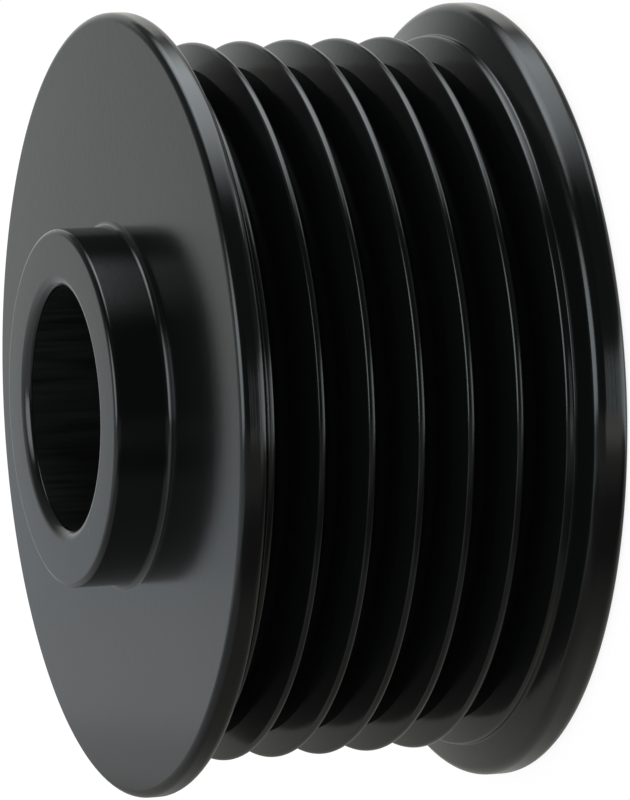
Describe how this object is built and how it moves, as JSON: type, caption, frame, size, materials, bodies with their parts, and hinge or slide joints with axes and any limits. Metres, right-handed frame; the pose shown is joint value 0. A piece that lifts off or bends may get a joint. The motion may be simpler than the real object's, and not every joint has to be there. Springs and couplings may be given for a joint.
{
  "type": "alternator pulley",
  "caption": "Turned pulley for a ribbed belt: grooved drum between raised rims, short hub and plain shaft bore on one side, nut recess on the other.",
  "frame": {"origin": "on the pulley's axis, in the plane of the outer face that it stands on", "axes": "+Z along the axis from the outer face towards the hub; X and Y are any two radii, because the pulley is the same all round"},
  "size_m": [0.055, 0.055, 0.0318],
  "materials": {
    "black_coated_steel": "thin satin-gloss black coat over turned steel"
  },
  "bodies": {
    "root": {"pulley": "black_coated_steel"}
  },
  "joints": []
}
